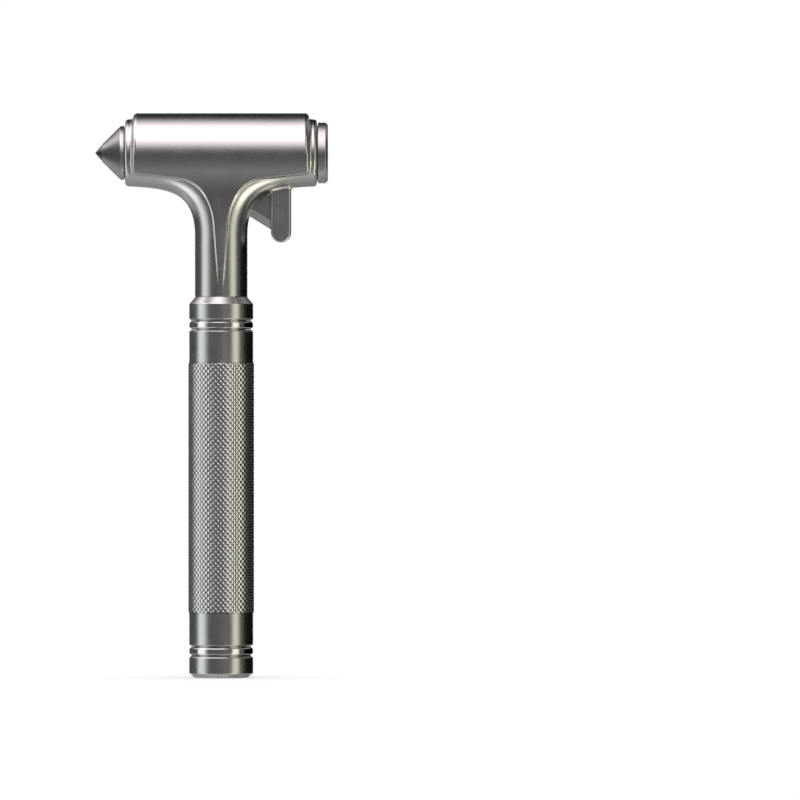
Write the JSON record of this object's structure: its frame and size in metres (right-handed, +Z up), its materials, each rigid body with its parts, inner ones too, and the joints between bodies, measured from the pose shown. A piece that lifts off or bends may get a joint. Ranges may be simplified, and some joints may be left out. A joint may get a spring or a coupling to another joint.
{
  "type": "escape hammer",
  "caption": "All-metal car escape hammer: T head with a hard cone at one end and a flat face at the other, guarded belt-cutter blade under one arm, round knurled handle with screw-off foot.",
  "frame": {"origin": "centre of the flat foot of the tail cap, at the bottom of the handle, on the handle's axis", "axes": "+Z up the handle to the head, +X from the cone to the flat striking face (the cutter hangs under the +X arm), +Y across the head towards the side where the blade's pins are driven in"},
  "size_m": [0.0723, 0.0248, 0.1755],
  "materials": {
    "head_metal": "satin",
    "handle_metal": "satin",
    "knurled_metal": "satin",
    "bright_ring": "polished",
    "striker_steel": "satin",
    "carbide": "satin",
    "blade_steel": "satin",
    "plain_steel": "satin",
    "seal_rubber": "matte"
  },
  "bodies": {
    "hammer_body": {"head_casting": "head_metal", "impact_weight": "plain_steel", "weight_pad": "seal_rubber", "rear_plug": "striker_steel", "rear_seal": "seal_rubber", "cutter_blade": "blade_steel", "blade_pin_upper": "plain_steel", "blade_pin_lower": "plain_steel", "upper_collar": "handle_metal", "upper_trim_ring": "bright_ring", "collar_o_ring": "seal_rubber", "grip_tube": "knurled_metal", "neck_screw": "plain_steel", "neck_spring_washer": "plain_steel", "neck_washer": "plain_steel", "stem_dowel": "plain_steel"},
    "striker_washer_body": {"striker_washer": "plain_steel"},
    "striker": {"striker_cone": "striker_steel", "carbide_tip": "carbide"},
    "tail_ring": {"lower_trim_ring": "bright_ring"},
    "tail_cap_body": {"tail_cap": "handle_metal", "tail_o_ring": "seal_rubber"}
  },
  "joints": [
    {"name": "striker_travel", "type": "slide", "parent": "hammer_body", "child": "striker_washer_body", "axis": [-1, 0, 0], "range_m": [0, 0.009]},
    {"name": "striker_turn", "type": "hinge", "parent": "striker_washer_body", "child": "striker", "pos_m": [-0.0301, 0, 0.1631], "axis": [-1, 0, 0], "range_deg": [0, 2160]},
    {"name": "tail_cap_travel", "type": "slide", "parent": "hammer_body", "child": "tail_ring", "axis": [0, 0, -1], "range_m": [0, 0.00875]},
    {"name": "tail_cap_turn", "type": "hinge", "parent": "tail_ring", "child": "tail_cap_body", "pos_m": [0, 0, 0.00686], "axis": [0, 0, -1], "range_deg": [0, 2520]}
  ],
  "couplings": [
    {"joint": "striker_travel", "follows": "striker_turn", "m_per_rad": 0.00023873},
    {"joint": "tail_cap_travel", "follows": "tail_cap_turn", "m_per_rad": 0.00019894}
  ]
}
